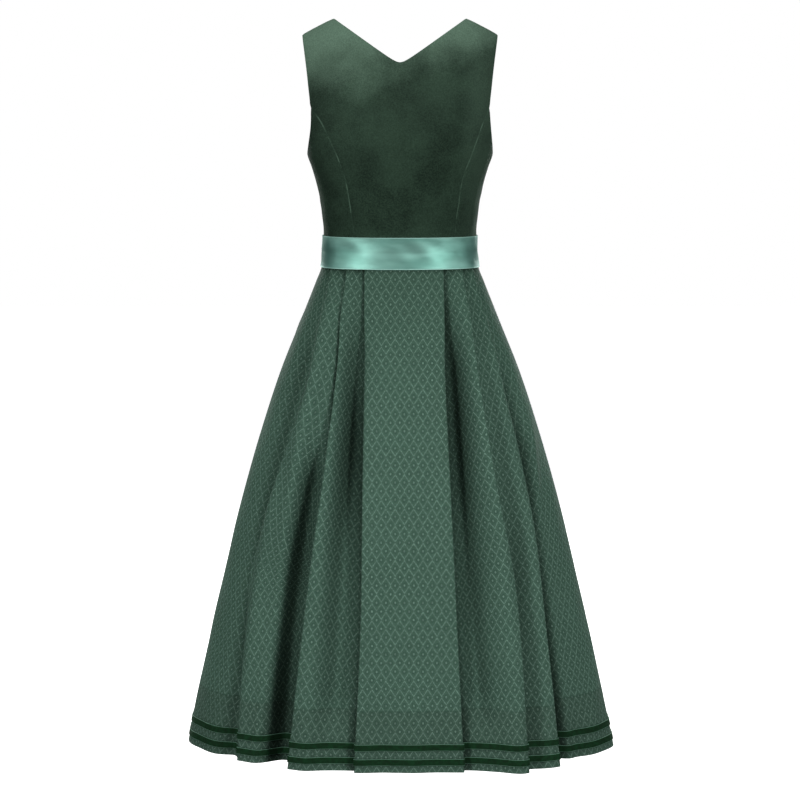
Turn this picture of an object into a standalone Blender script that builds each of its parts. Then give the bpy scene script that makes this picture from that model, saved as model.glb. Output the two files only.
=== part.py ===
"""Dirndl dress, worn on a general figure: velvet bodice, satin waist ribbon, pleated jacquard skirt
and two velvet ribbons round the hem.

Metres, +Z up. The wearer faces -Y, so the back of the dress is on +Y and the wearer's left on +X.
The origin lies between the shoulders at the height of the neck ends of the shoulder seams, where the
wearer's shoulders carry the dress.
"""

import math
from typing import NamedTuple

import bmesh
import bpy
import numpy as np

# ---- driving dimensions ----------------------------------------------------------------------
UNDERARM_Z = -0.214
WAIST_Z = -0.368
HEM_Z = -1.164

NECK_HALF_WIDTH = 0.105  # centre to the neck end of a shoulder seam
SHOULDER_HALF_WIDTH = 0.155  # centre to the tip of a shoulder seam
SHOULDER_DROP = 0.026  # fall of a shoulder seam from neck end to tip
SHOULDER_BOW = 1.15  # over 1, the seam falls faster towards its tip
NECK_RISE = 0.35  # slope of the neck inside the shoulder seam, which shapes the edge of the V
BACK_NECK_Z = -0.070
FRONT_NECK_Z = -0.176
NECK_TIP_ROUNDING = 0.08  # of the neck's half width

VELVET_WALL = 0.0016
SKIRT_WALL = 0.0012
RIBBON_WALL = 0.0010
SEAM_GAP = 0.0003
EDGE_SHRINK = 0.00025  # each panel's edge stands back from its seam by this
SHOULDER_SHRINK = 0.0009  # the shoulder seam turns the walls towards each other

WAIST_RIBBON_WIDTH = 0.050
WAIST_RIBBON_LIFT = 0.0008  # from the bodice's outer face to the ribbon's inner one
HEM_RIBBON_WIDTH = 0.010
HEM_RIBBON_PITCH = 0.0225
LOWER_RIBBON_CLEAR = 0.011  # hem to the lower ribbon
HEM_RIBBON_LIFT = 0.0017  # middle of the skirt's wall to the middle of the ribbon's

TORSO_ROUNDNESS = 2.3  # exponent of the bodice's rings: 2 is an ellipse, more is squarer
HEM_ROUNDNESS = 2.5
HEM_SLANT = 0.07  # how much further back the right side hangs than the left, for each unit between
HEM_DEPTH = 0.237  # hem, centre plane to the furthest point at back or front
FOLD_RADIUS = 0.0022  # greatest radius at which a pleat's fold turns
LAYER_PITCH = 0.0020  # between the layers of a pleat at the waist
LEAST_TUCK = 1.08  # of the space between a pleat's layers, so that its two turns have room


class Ring(NamedTuple):
    """A level section of the bodice: half its width, and its depth behind and before the side."""

    z: float
    half_width: float
    back: float
    front: float


TORSO = (
    Ring(-0.368, 0.1215, 0.094, 0.094),
    Ring(-0.336, 0.1212, 0.095, 0.098),
    Ring(-0.310, 0.1237, 0.097, 0.106),
    Ring(-0.285, 0.1268, 0.099, 0.116),
    Ring(-0.259, 0.1327, 0.101, 0.124),
    Ring(-0.234, 0.1400, 0.103, 0.128),
    Ring(-0.214, 0.1468, 0.104, 0.127),
    Ring(-0.160, 0.1530, 0.106, 0.118),
    Ring(-0.100, 0.1590, 0.105, 0.108),
    Ring(0.040, 0.1700, 0.100, 0.100),
)


class Level(NamedTuple):
    """Half the skirt's width at a height."""

    z: float
    half_width: float


SKIRT = (
    Level(-0.368, 0.1215),
    Level(-0.393, 0.1248),
    Level(-0.416, 0.1335),
    Level(-0.480, 0.1590),
    Level(-0.560, 0.1911),
    Level(-0.656, 0.2227),
    Level(-0.768, 0.2548),
    Level(-0.896, 0.2858),
    Level(-1.024, 0.3151),
    Level(HEM_Z, 0.3445),
)


class Seam(NamedTuple):
    """How far a bodice seam or edge stands from the centre plane at a height, left and right."""

    z: float
    left: float
    right: float


BACK_SEAM = (
    Seam(-0.368, 0.0690, 0.0840),
    Seam(-0.328, 0.0730, 0.0870),
    Seam(-0.290, 0.0785, 0.0915),
    Seam(-0.250, 0.0860, 0.0985),
    Seam(-0.219, 0.0970, 0.1100),
    Seam(-0.187, 0.1115, 0.1220),
    Seam(-0.160, 0.1255, 0.1320),
    Seam(-0.141, 0.1400, 0.1405),
)
FRONT_SEAM = (
    Seam(-0.368, 0.0640, 0.0640),
    Seam(-0.320, 0.0700, 0.0700),
    Seam(-0.270, 0.0800, 0.0800),
    Seam(-0.230, 0.0900, 0.0900),
    Seam(-0.190, 0.1060, 0.1060),
    Seam(-0.160, 0.1230, 0.1230),
    Seam(-0.141, 0.1370, 0.1370),
)
BACK_ARMHOLE = (
    Seam(-0.160, 0.1412, 0.1412),
    Seam(-0.141, 0.1414, 0.1414),
    Seam(-0.106, 0.1447, 0.1447),
    Seam(-0.077, 0.1480, 0.1480),
    Seam(-0.026, 0.1550, 0.1550),
)
FRONT_ARMHOLE = (
    Seam(-0.160, 0.1380, 0.1380),
    Seam(-0.141, 0.1378, 0.1378),
    Seam(-0.106, 0.1400, 0.1400),
    Seam(-0.077, 0.1440, 0.1440),
    Seam(-0.026, 0.1550, 0.1550),
)
ARMHOLE_JOIN_Z = -0.141  # where the front and back seams run out into the armhole


class Pleat(NamedTuple):
    """A knife pleat facing away from the centre. Its fold's distance from the centre plane is given at
    the heights of PLEAT_HEIGHTS, the cloth tucked under the fold at waist and hem, how far inside the
    fold the next panel lies at the heights of STEP_HEIGHTS, and how far inside the skirt's ring the
    fold hangs at the hem."""

    side: int
    x_waist: float
    x_hip: float
    x_thigh: float
    x_calf: float
    x_hem: float
    tuck_waist: float
    tuck_hem: float
    step_hip: float
    step_thigh: float
    step_calf: float
    step_hem: float
    inset_hem: float


PLEAT_HEIGHTS = (-0.393, -0.560, -0.720, -0.900, HEM_Z)
STEP_HEIGHTS = (-0.520, -0.700, -0.900, HEM_Z)
BACK_PLEATS = (
    Pleat(+1, 0.0555, 0.0563, 0.0583, 0.0605, 0.0706, 0.030, 0.020, 0.010, 0.034, 0.016, 0.014, 0.000),
    Pleat(+1, 0.0840, 0.0985, 0.1190, 0.1440, 0.1749, 0.024, 0.034, 0.007, 0.018, 0.040, 0.055, 0.000),
    Pleat(+1, 0.1086, 0.1370, 0.1940, 0.2480, 0.2565, 0.018, 0.013, 0.012, 0.017, 0.014, 0.012, 0.014),
    Pleat(-1, 0.0680, 0.0712, 0.0787, 0.0870, 0.0992, 0.030, 0.020, 0.018, 0.028, 0.016, 0.014, 0.012),
    Pleat(-1, 0.0980, 0.1195, 0.1460, 0.1800, 0.1985, 0.024, 0.022, 0.010, 0.018, 0.022, 0.020, -0.002),
    Pleat(-1, 0.1143, 0.1600, 0.2010, 0.2245, 0.2507, 0.012, 0.036, 0.012, 0.024, 0.036, 0.050, 0.012),
)
FRONT_PLEATS = (
    Pleat(+1, 0.0660, 0.0700, 0.0780, 0.0900, 0.1040, 0.028, 0.020, 0.016, 0.026, 0.020, 0.016, 0.004),
    Pleat(+1, 0.1010, 0.1280, 0.1680, 0.2080, 0.2360, 0.022, 0.028, 0.010, 0.020, 0.030, 0.040, 0.008),
    Pleat(-1, 0.0600, 0.0620, 0.0660, 0.0720, 0.0800, 0.028, 0.020, 0.018, 0.026, 0.018, 0.014, 0.006),
    Pleat(-1, 0.0960, 0.1180, 0.1520, 0.1940, 0.2220, 0.022, 0.026, 0.010, 0.018, 0.028, 0.034, 0.010),
)
BACK_CENTRE_INSET = 0.006  # at the hem, how far the middle panel hangs inside the skirt's ring
FRONT_CENTRE_INSET = 0.004

SKIRT_ROWS = (
    WAIST_Z - SEAM_GAP / 2,
    -0.393,
    -0.416,
    -0.460,
    -0.520,
    -0.600,
    -0.690,
    -0.790,
    -0.895,
    -1.012,
    -1.117,
    HEM_Z,
)
# Faces along each stretch of a pleat's section.
PANEL_STEPS, TURN_STEPS, TUCK_STEPS, UNDER_STEPS, SIDE_STEPS = 3, 2, 1, 2, 5
CURVE_STEPS = 240  # along a quarter ring, for measuring along it

VELVET = ("velvet", (0.024, 0.062, 0.038), 0.85)
SATIN = ("satin", (0.155, 0.400, 0.305), 0.32)
JACQUARD = ("jacquard", (0.052, 0.112, 0.078), 0.60)
TRIM = ("velvet_ribbon", (0.004, 0.032, 0.012), 0.80)


# ---- reading the tables ----------------------------------------------------------------------
def eased(heights, values, z):
    """Smooth interpolation of values given at falling or rising heights, without overshoot."""
    order = np.argsort(heights)
    h, v = np.array(heights, float)[order], np.array(values, float)[order]
    slope = np.diff(v) / np.diff(h)
    inner = np.where(slope[1:] * slope[:-1] > 0, 2 / (1 / _safe(slope[1:]) + 1 / _safe(slope[:-1])), 0)
    tangent = np.concatenate([[slope[0]], inner, [slope[-1]]])
    z = min(max(z, h[0]), h[-1])
    i = min(max(int(np.searchsorted(h, z)) - 1, 0), len(h) - 2)
    span = h[i + 1] - h[i]
    q = (z - h[i]) / span
    near, far = v[i], v[i + 1]
    bend = (2 * q**3 - 3 * q**2 + 1) * near + (3 * q**2 - 2 * q**3) * far
    return bend + span * ((q**3 - 2 * q**2 + q) * tangent[i] + (q**3 - q**2) * tangent[i + 1])


def _safe(a):
    """a with its zeros moved off zero, so that it can divide."""
    return np.where(np.abs(a) < 1e-12, 1e-12, a)


def column(table, name, z):
    return eased([row.z for row in table], [getattr(row, name) for row in table], z)


# ---- the bodice's form -----------------------------------------------------------------------
def shoulder_z(x):
    """Height of the ridge over the shoulder at x. Inside the seam it rises as a neck does."""
    beyond = (abs(x) - NECK_HALF_WIDTH) / (SHOULDER_HALF_WIDTH - NECK_HALF_WIDTH)
    if beyond < 0:
        return NECK_RISE * (NECK_HALF_WIDTH - abs(x))
    return -SHOULDER_DROP * beyond**SHOULDER_BOW


def torso_point(x, z, face, arch=None):
    """The point of the form at x and z, behind (face +1) or before (face -1). arch is the angle round
    the shoulder, 0 at the underarm and 90 degrees at the ridge, where z alone can't tell it."""
    half_width = column(TORSO, "half_width", z)
    depth = column(TORSO, "back" if face > 0 else "front", z)
    across = max(0.0, 1 - min(1.0, abs(x) / half_width) ** TORSO_ROUNDNESS) ** (1 / TORSO_ROUNDNESS)
    if arch is None:
        rise = max(0.0, (z - UNDERARM_Z) / (shoulder_z(x) - UNDERARM_Z))
        arch = math.asin(min(1.0, rise))
    return (x, face * depth * across * math.cos(arch), z)


def over_shoulder(x, level, face):
    """A point at x: its level is -1 at the waist, 0 at the underarm and 1 at the ridge."""
    if level <= 0:
        return torso_point(x, UNDERARM_Z + level * (UNDERARM_Z - WAIST_Z), face)
    arch = level * math.pi / 2
    z = UNDERARM_Z + (shoulder_z(x) - UNDERARM_Z) * math.sin(arch)
    return torso_point(x, z, face, arch)


def level_of(x, z):
    """The level that over_shoulder takes for a point at x and z."""
    if z <= UNDERARM_Z:
        return (z - UNDERARM_Z) / (UNDERARM_Z - WAIST_Z)
    return math.asin(min(1.0, (z - UNDERARM_Z) / (shoulder_z(x) - UNDERARM_Z))) * 2 / math.pi


def neck_z(x, tip_z):
    """The V neckline: straight sides from the shoulder seams to a slightly rounded tip."""
    r = abs(x) / NECK_HALF_WIDTH
    rounded = math.hypot(r, NECK_TIP_ROUNDING) - NECK_TIP_ROUNDING
    return tip_z * (1 - rounded / (math.hypot(1, NECK_TIP_ROUNDING) - NECK_TIP_ROUNDING))


# ---- meshes ----------------------------------------------------------------------------------
def material(name, colour, roughness):
    found = bpy.data.materials.get(name)
    if found:
        return found
    made = bpy.data.materials.new(name)
    made.use_nodes = True
    shader = made.node_tree.nodes["Principled BSDF"]
    shader.inputs["Base Color"].default_value = (*colour, 1)
    shader.inputs["Roughness"].default_value = roughness
    shader.inputs["Metallic"].default_value = 0.0
    return made


def add_object(name, bm, look):
    mesh = bpy.data.meshes.new(name)
    bmesh.ops.recalc_face_normals(bm, faces=bm.faces[:])
    bm.to_mesh(mesh)
    bm.free()
    mesh.materials.append(material(*look))
    mesh.shade_smooth()
    mesh.set_sharp_from_angle(angle=math.radians(50))
    made = bpy.data.objects.new(name, mesh)
    bpy.context.collection.objects.link(made)
    return made


def add_sheet(bm, grid):
    """One face for each cell of a grid of points."""
    verts = [[bm.verts.new(p) for p in row] for row in grid]
    for below, above in zip(verts, verts[1:]):
        for i in range(len(below) - 1):
            bm.faces.new((below[i], below[i + 1], above[i + 1], above[i]))


def thickened(made, wall):
    """Gives a sheet its wall, half on each side."""
    solidify = made.modifiers.new("wall", "SOLIDIFY")
    solidify.thickness = wall
    solidify.offset = 0
    solidify.use_even_offset = True
    return made


def drawn_in(grid, first_column=0.0, last_column=0.0, first_row=0.0, last_row=0.0):
    """The grid with its edges moved in towards their neighbours by the given distances."""
    points = np.array(grid, float)
    for edge, inside, by in ((0, 1, first_column), (-1, -2, last_column)):
        points[:, edge] = _towards(points[:, edge], points[:, inside], by)
    for edge, inside, by in ((0, 1, first_row), (-1, -2, last_row)):
        points[edge] = _towards(points[edge], points[inside], by)
    return points


def _towards(points, others, by):
    way = others - points
    return points + way * (by / np.linalg.norm(way, axis=1, keepdims=True))


# ---- bodice ----------------------------------------------------------------------------------
# Heights at which a seam's two panels have their rows, so that their edges match.
SEAM_HEIGHTS = (WAIST_Z, -0.336, -0.305, -0.274, -0.244, UNDERARM_Z, -0.190, -0.165, ARMHOLE_JOIN_Z)
STRAP_ROWS = 6
ARMHOLE_TRIES = 4  # the armhole's x depends on its height, which depends on x
CENTRE_COLUMNS = 5
SIDE_COLUMNS = 3
ROW_LEAN = 0.4  # how far a side panel's rows lean with its seam as they fall to the side


def seam_x(z, seam, side):
    return column(seam, "left" if side > 0 else "right", z)


def centre_panel(side, face, tip_z, seam, armhole):
    """Half of a centre panel: from the centre plane, then the neckline, out to the seam and armhole."""
    rows = []
    for z in SEAM_HEIGHTS:
        share = (z - WAIST_Z) / (ARMHOLE_JOIN_Z - WAIST_Z)
        x_out = seam_x(z, seam, side)
        rows.append((0.0, level_of(0, WAIST_Z + (tip_z - WAIST_Z) * share), x_out, level_of(x_out, z)))
    join_level = rows[-1][3]
    for i in range(1, STRAP_ROWS + 1):
        q = i / STRAP_ROWS
        x_in, level_out = NECK_HALF_WIDTH * q, join_level + (1 - join_level) * q
        x_out = SHOULDER_HALF_WIDTH
        for _ in range(ARMHOLE_TRIES if q < 1 else 0):
            x_out = seam_x(over_shoulder(x_out, level_out, face)[2], armhole, side)
        rows.append((x_in, level_of(x_in, neck_z(x_in, tip_z)) if q < 1 else 1.0, x_out, level_out))
    grid = []
    for x_in, level_in, x_out, level_out in rows:
        line = []
        for u in np.linspace(0, 1, CENTRE_COLUMNS + 1):
            level = level_in + (level_out - level_in) * u
            line.append(over_shoulder(side * (x_in + (x_out - x_in) * u), level, face))
        grid.append(line)
    return grid


def side_panel(side, face, seam):
    """A side panel: from the seam round to the side seam, its top edge the foot of the armhole."""
    grid = []
    for height in SEAM_HEIGHTS:
        share = (height - WAIST_Z) / (ARMHOLE_JOIN_Z - WAIST_Z)
        line = []
        for u in np.linspace(0, 1, SIDE_COLUMNS + 1):
            top = ARMHOLE_JOIN_Z + (UNDERARM_Z - ARMHOLE_JOIN_Z) * math.sin(u * math.pi / 2)
            z = WAIST_Z + (top - WAIST_Z) * share
            half_width = column(TORSO, "half_width", z)
            from_z = height + (z - height) * ROW_LEAN
            first = math.asin((seam_x(from_z, seam, side) / half_width) ** (TORSO_ROUNDNESS / 2))
            turn = first + (math.pi / 2 - first) * u
            x = half_width * math.sin(turn) ** (2 / TORSO_ROUNDNESS)
            line.append(torso_point(side * x, z, face))
        grid.append(line)
    return grid


def build_bodice():
    for face, place, seam in ((1, "back", BACK_SEAM), (-1, "front", FRONT_SEAM)):
        armhole = BACK_ARMHOLE if face > 0 else FRONT_ARMHOLE
        tip_z = BACK_NECK_Z if face > 0 else FRONT_NECK_Z
        halves = {}
        for side, hand in ((1, "left"), (-1, "right")):
            opening = 0.0 if face > 0 else EDGE_SHRINK
            grid = centre_panel(side, face, tip_z, seam, armhole)
            halves[hand] = drawn_in(grid, opening, EDGE_SHRINK, SEAM_GAP / 2, SHOULDER_SHRINK)
            bm = bmesh.new()
            side_grid = side_panel(side, face, seam)
            add_sheet(bm, drawn_in(side_grid, EDGE_SHRINK, EDGE_SHRINK, SEAM_GAP / 2, 0.0))
            thickened(add_object(f"bodice_{place}_side_{hand}", bm, VELVET), VELVET_WALL)
        if face > 0:
            bm = bmesh.new()
            for grid in halves.values():
                add_sheet(bm, grid)
            bmesh.ops.remove_doubles(bm, verts=bm.verts[:], dist=0.00001)
            thickened(add_object("bodice_back", bm, VELVET), VELVET_WALL)
            continue
        for hand, grid in halves.items():
            bm = bmesh.new()
            add_sheet(bm, grid)
            thickened(add_object(f"bodice_front_{hand}", bm, VELVET), VELVET_WALL)


# ---- the skirt's form ------------------------------------------------------------------------
class Quarter(NamedTuple):
    """A quarter of a ring from its centre line to its side, measured along: points and normals."""

    along: np.ndarray
    points: np.ndarray
    normals: np.ndarray


def fall(z):
    """0 at the waist and 1 at the hem."""
    return (WAIST_Z - z) / (WAIST_Z - HEM_Z)


def quarter_ring(half_width, depth, roundness):
    turn = np.linspace(0, math.pi / 2, CURVE_STEPS + 1)
    x = half_width * np.sin(turn) ** (2 / roundness)
    y = depth * np.maximum(np.cos(turn), 0) ** (2 / roundness)
    points = np.stack([x, y], axis=1)
    lengths = np.linalg.norm(np.diff(points, axis=0), axis=1)
    nx, ny = (x / half_width) ** (roundness - 1) / half_width, (y / depth) ** (roundness - 1) / depth
    normals = np.stack([nx, ny], axis=1)
    normals /= np.linalg.norm(normals, axis=1, keepdims=True)
    return Quarter(np.concatenate([[0], np.cumsum(lengths)]), points, normals)


def skirt_quarter(z):
    """The skirt's ring at a height, without its pleats. Back and front have the same depth."""
    half_width = column(SKIRT, "half_width", z)
    waist, hem = SKIRT[0].half_width, SKIRT[-1].half_width
    spread = (half_width - waist) / (hem - waist)
    waist_depth = TORSO[0].back
    depth = waist_depth + (HEM_DEPTH - waist_depth) * spread
    roundness = TORSO_ROUNDNESS + (HEM_ROUNDNESS - TORSO_ROUNDNESS) * fall(z)
    return quarter_ring(half_width, depth, roundness)


def located(ring, along, inset):
    """Points at distances along a quarter ring, moved in from it by inset."""
    columns = [np.interp(along, ring.along, a) for a in (*ring.points.T, *ring.normals.T)]
    points, normals = np.stack(columns[:2], axis=1), np.stack(columns[2:], axis=1)
    return points - normals * np.asarray(inset)[:, None]


def smooth(q):
    q = np.clip(q, 0, 1)
    return q * q * (3 - 2 * q)


def half_skirt(z, ring, pleats, centre_inset):
    """One quarter of the skirt's section, from the centre line out to the side seam: the cloth runs
    along each panel, turns at the fold, goes back under it, turns again and runs out to the next."""
    t = fall(z)
    along, inset = [], []
    start, start_inset = 0.0, centre_inset * t * t
    for pleat in pleats:
        step = eased((PLEAT_HEIGHTS[0], *STEP_HEIGHTS), (2 * LAYER_PITCH, *pleat[8:12]), z)
        gap = step / 2
        tuck = max(pleat.tuck_waist + (pleat.tuck_hem - pleat.tuck_waist) * t, gap * LEAST_TUCK)
        edge_x = eased(PLEAT_HEIGHTS, pleat[1:6], z)
        edge_inset = pleat.inset_hem * t * t
        radius = min(gap / 2, FOLD_RADIUS)
        outline = ring.points[:, 0] - (edge_inset + radius) * ring.normals[:, 0]
        edge = float(np.interp(edge_x, outline, ring.along))
        last = edge - radius

        def panel(s, a=start, b=last, near=start_inset, far=edge_inset):
            return near + (far - near) * smooth((np.asarray(s) - a) / (b - a))

        s = np.linspace(start, last, PANEL_STEPS + 1)
        along += list(s)
        inset += list(panel(s))
        turn = np.linspace(0, math.pi, TURN_STEPS + 1)[1:]
        along += list(last + radius * np.sin(turn))
        inset += list(edge_inset + radius * (1 - np.cos(turn)))
        inner = edge - tuck + gap / 2
        q = np.linspace(0, 1, TUCK_STEPS + 1)[1:]
        s = last + (inner - last) * q
        along += list(s)
        inset += list(panel(s) + 2 * radius + (gap - 2 * radius) * q)
        along += list(inner - gap / 2 * np.sin(turn))
        inset += list(panel(inner) + gap * 1.5 - gap / 2 * np.cos(turn))
        s = np.linspace(inner, edge, UNDER_STEPS + 1)[1:-1]
        along += list(s)
        inset += list(panel(s) + step)
        start, start_inset = edge, edge_inset + step
    s = np.linspace(start, ring.along[-1], SIDE_STEPS + 1)
    along += list(s)
    inset += list(start_inset * (1 - smooth((s - start) / (ring.along[-1] - start))))
    return located(ring, np.array(along), np.array(inset))


def skirt_line(z, face):
    """The middle of the skirt's wall at a height, from the left side seam round to the right one."""
    ring = skirt_quarter(z)
    pleats, inset = (BACK_PLEATS, BACK_CENTRE_INSET) if face > 0 else (FRONT_PLEATS, FRONT_CENTRE_INSET)
    left, right = (half_skirt(z, ring, [p for p in pleats if p.side == s], inset) for s in (1, -1))
    whole = np.concatenate([left[::-1], (right * (-1, 1))[1:]]) * (1, face)
    whole[:, 1] -= whole[:, 0] * HEM_SLANT * fall(z) ** 2
    return whole


def moved_out(line, by, closed=False):
    """A section moved sideways, to the right of its way, with mitred corners."""
    if closed:
        before, after = line - np.roll(line, 1, axis=0), np.roll(line, -1, axis=0) - line
    else:
        steps = np.diff(line, axis=0)
        before, after = np.concatenate([steps[:1], steps]), np.concatenate([steps, steps[-1:]])
    before = before / np.linalg.norm(before, axis=1, keepdims=True)
    after = after / np.linalg.norm(after, axis=1, keepdims=True)
    turned = [np.stack([way[:, 1], -way[:, 0]], axis=1) for way in (before, after)]
    mitre = turned[0] + turned[1]
    return line + mitre * (2 * by / np.sum(mitre * mitre, axis=1, keepdims=True))


def add_wall(bm, faces_of_wall, closed):
    """A closed solid from an outer and an inner grid: rows of points from the top down."""
    outer, inner = ([[bm.verts.new(p) for p in row] for row in grid] for grid in faces_of_wall)
    count = len(outer[0])
    for i in range(count if closed else count - 1):
        k = (i + 1) % count
        for grid in (outer, inner):
            for above, below in zip(grid, grid[1:]):
                bm.faces.new((above[i], above[k], below[k], below[i]))
        bm.faces.new((outer[0][i], outer[0][k], inner[0][k], inner[0][i]))
        bm.faces.new((outer[-1][i], outer[-1][k], inner[-1][k], inner[-1][i]))
    if not closed:
        for i in (0, -1):
            for j in range(len(outer) - 1):
                bm.faces.new((outer[j][i], outer[j + 1][i], inner[j + 1][i], inner[j][i]))


def raised(line, z):
    return [(x, y, z) for x, y in line]


def build_skirt():
    for face, place in ((1, "back"), (-1, "front")):
        walls = ([], [])
        for z in SKIRT_ROWS:
            line = skirt_line(z, face)
            line[0, 1] += face * SEAM_GAP / 2
            line[-1, 1] += face * SEAM_GAP / 2
            for wall, way in zip(walls, (1, -1)):
                wall.append(raised(moved_out(line, way * face * SKIRT_WALL / 2), z))
        bm = bmesh.new()
        add_wall(bm, walls, closed=False)
        add_object(f"skirt_{place}", bm, JACQUARD)


def skirt_loop(z):
    """The whole skirt's section between its last two rows, where its walls are straight."""
    above, below = SKIRT_ROWS[-2:]
    share = (z - above) / (below - above)
    back, front = (
        skirt_line(above, face) * (1 - share) + skirt_line(below, face) * share for face in (1, -1)
    )
    return np.concatenate([back, front[::-1][1:-1]])


def build_hem_ribbons():
    lower = HEM_Z + LOWER_RIBBON_CLEAR
    for name, bottom in (("lower", lower), ("upper", lower + HEM_RIBBON_PITCH)):
        walls = ([], [])
        for z in (bottom + HEM_RIBBON_WIDTH, bottom):
            loop = skirt_loop(z)
            for wall, way in zip(walls, (1, -1)):
                wall.append(raised(moved_out(loop, HEM_RIBBON_LIFT + way * RIBBON_WALL / 2, True), z))
        bm = bmesh.new()
        add_wall(bm, walls, closed=True)
        add_object(f"hem_ribbon_{name}", bm, TRIM)


# ---- waist ribbon ----------------------------------------------------------------------------
WAIST_RIBBON_COLUMNS = 10  # in each quarter


def waist_line(z, lift):
    """Round the waist from the centre front to the centre front, lifted off the middle of the wall."""
    if z >= WAIST_Z:
        half_width = column(TORSO, "half_width", z)
        depths = [column(TORSO, name, z) for name in ("front", "back")]
        quarters = [quarter_ring(half_width, depth, TORSO_ROUNDNESS) for depth in depths]
    else:
        quarters = [skirt_quarter(z)] * 2
    lines = []
    for ring, face in zip(quarters, (-1, 1)):
        along = np.linspace(0, ring.along[-1], WAIST_RIBBON_COLUMNS + 1)
        lines.append(located(ring, along, np.full(len(along), -lift)) * (1, face))
    left = np.concatenate([lines[0], lines[1][::-1][1:]])
    return np.concatenate([left, (left * (-1, 1))[::-1][1:]])


def build_waist_ribbon():
    walls = ([], [])
    inner = VELVET_WALL / 2 + WAIST_RIBBON_LIFT
    for z in (WAIST_Z + WAIST_RIBBON_WIDTH / 2, WAIST_Z, WAIST_Z - WAIST_RIBBON_WIDTH / 2):
        for wall, lift in zip(walls, (inner + RIBBON_WALL, inner)):
            line = waist_line(z, lift)
            line[0, 0] += SEAM_GAP
            line[-1, 0] -= SEAM_GAP
            wall.append(raised(line, z))
    bm = bmesh.new()
    add_wall(bm, walls, closed=False)
    add_object("waist_ribbon", bm, SATIN)


def main():
    for old in list(bpy.data.objects):
        bpy.data.objects.remove(old, do_unlink=True)
    build_bodice()
    build_waist_ribbon()
    build_skirt()
    build_hem_ribbons()


main()
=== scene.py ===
"""The looks of the dirndl dress: velvet panels, satin ribbon, pleated jacquard and velvet hem ribbons.

Metres, +Z up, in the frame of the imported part. The wearer faces -Y and the camera looks at the back.
"""

import math
from typing import NamedTuple

import bmesh
import bpy
import numpy as np
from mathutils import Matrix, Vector


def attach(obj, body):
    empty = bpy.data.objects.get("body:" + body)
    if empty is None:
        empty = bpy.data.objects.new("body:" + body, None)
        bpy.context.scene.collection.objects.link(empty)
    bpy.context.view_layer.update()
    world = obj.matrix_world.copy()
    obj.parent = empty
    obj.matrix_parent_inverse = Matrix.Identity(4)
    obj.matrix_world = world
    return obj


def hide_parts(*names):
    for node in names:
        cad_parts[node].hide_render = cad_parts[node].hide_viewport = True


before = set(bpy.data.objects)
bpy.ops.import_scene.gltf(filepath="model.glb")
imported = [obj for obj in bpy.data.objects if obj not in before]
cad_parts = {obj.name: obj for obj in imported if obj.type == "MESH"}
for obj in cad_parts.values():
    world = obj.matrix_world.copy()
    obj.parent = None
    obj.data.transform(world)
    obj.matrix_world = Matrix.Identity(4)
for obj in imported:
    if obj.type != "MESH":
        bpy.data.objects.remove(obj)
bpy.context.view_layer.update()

# ---- driving dimensions ----
UNDERARM_Z = -0.214
WAIST_Z = -0.368
HEM_Z = -1.164

NECK_HALF_WIDTH = 0.105  # centre to the neck end of a shoulder seam
SHOULDER_HALF_WIDTH = 0.155  # centre to the tip of a shoulder seam
SHOULDER_DROP = 0.026  # fall of a shoulder seam from neck end to tip
SHOULDER_BOW = 1.15  # over 1, the seam falls faster towards its tip
NECK_RISE = 0.35  # slope of the neck inside the shoulder seam, which shapes the edge of the V
BACK_NECK_Z = -0.070
FRONT_NECK_Z = -0.176
NECK_TIP_ROUNDING = 0.08  # of the neck's half width

VELVET_WALL = 0.0016
SKIRT_WALL = 0.0012
RIBBON_WALL = 0.0010

WAIST_RIBBON_WIDTH = 0.050
WAIST_RIBBON_LIFT = 0.0008  # from the bodice's outer face to the ribbon's inner one
HEM_RIBBON_WIDTH = 0.010
HEM_RIBBON_PITCH = 0.0225
LOWER_RIBBON_CLEAR = 0.011  # hem to the lower ribbon
HEM_RIBBON_LIFT = 0.0017  # middle of the skirt's wall to the middle of the ribbon's

TORSO_ROUNDNESS = 2.3  # exponent of the bodice's rings: 2 is an ellipse, more is squarer
HEM_ROUNDNESS = 2.5
HEM_SLANT = 0.07  # how much further back the right side hangs than the left, for each unit between
HEM_DEPTH = 0.237  # hem, centre plane to the furthest point at back or front
FOLD_RADIUS = 0.0022  # greatest radius at which a pleat's fold turns
LAYER_PITCH = 0.0020  # between the layers of a pleat at the waist
LEAST_TUCK = 1.08  # of the space between a pleat's layers, so that its two turns have room


class Ring(NamedTuple):
    """A level section of the bodice: half its width, and its depth behind and before the side."""

    z: float
    half_width: float
    back: float
    front: float


TORSO = (
    Ring(-0.368, 0.1215, 0.094, 0.094),
    Ring(-0.336, 0.1212, 0.095, 0.098),
    Ring(-0.310, 0.1237, 0.097, 0.106),
    Ring(-0.285, 0.1268, 0.099, 0.116),
    Ring(-0.259, 0.1327, 0.101, 0.124),
    Ring(-0.234, 0.1400, 0.103, 0.128),
    Ring(-0.214, 0.1468, 0.104, 0.127),
    Ring(-0.160, 0.1530, 0.106, 0.118),
    Ring(-0.100, 0.1590, 0.105, 0.108),
    Ring(0.040, 0.1700, 0.100, 0.100),
)


class Level(NamedTuple):
    """Half the skirt's width at a height."""

    z: float
    half_width: float


SKIRT = (
    Level(-0.368, 0.1215),
    Level(-0.393, 0.1248),
    Level(-0.416, 0.1335),
    Level(-0.480, 0.1590),
    Level(-0.560, 0.1911),
    Level(-0.656, 0.2227),
    Level(-0.768, 0.2548),
    Level(-0.896, 0.2858),
    Level(-1.024, 0.3151),
    Level(HEM_Z, 0.3445),
)


class Seam(NamedTuple):
    """How far a bodice seam or edge stands from the centre plane at a height, left and right."""

    z: float
    left: float
    right: float


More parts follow.
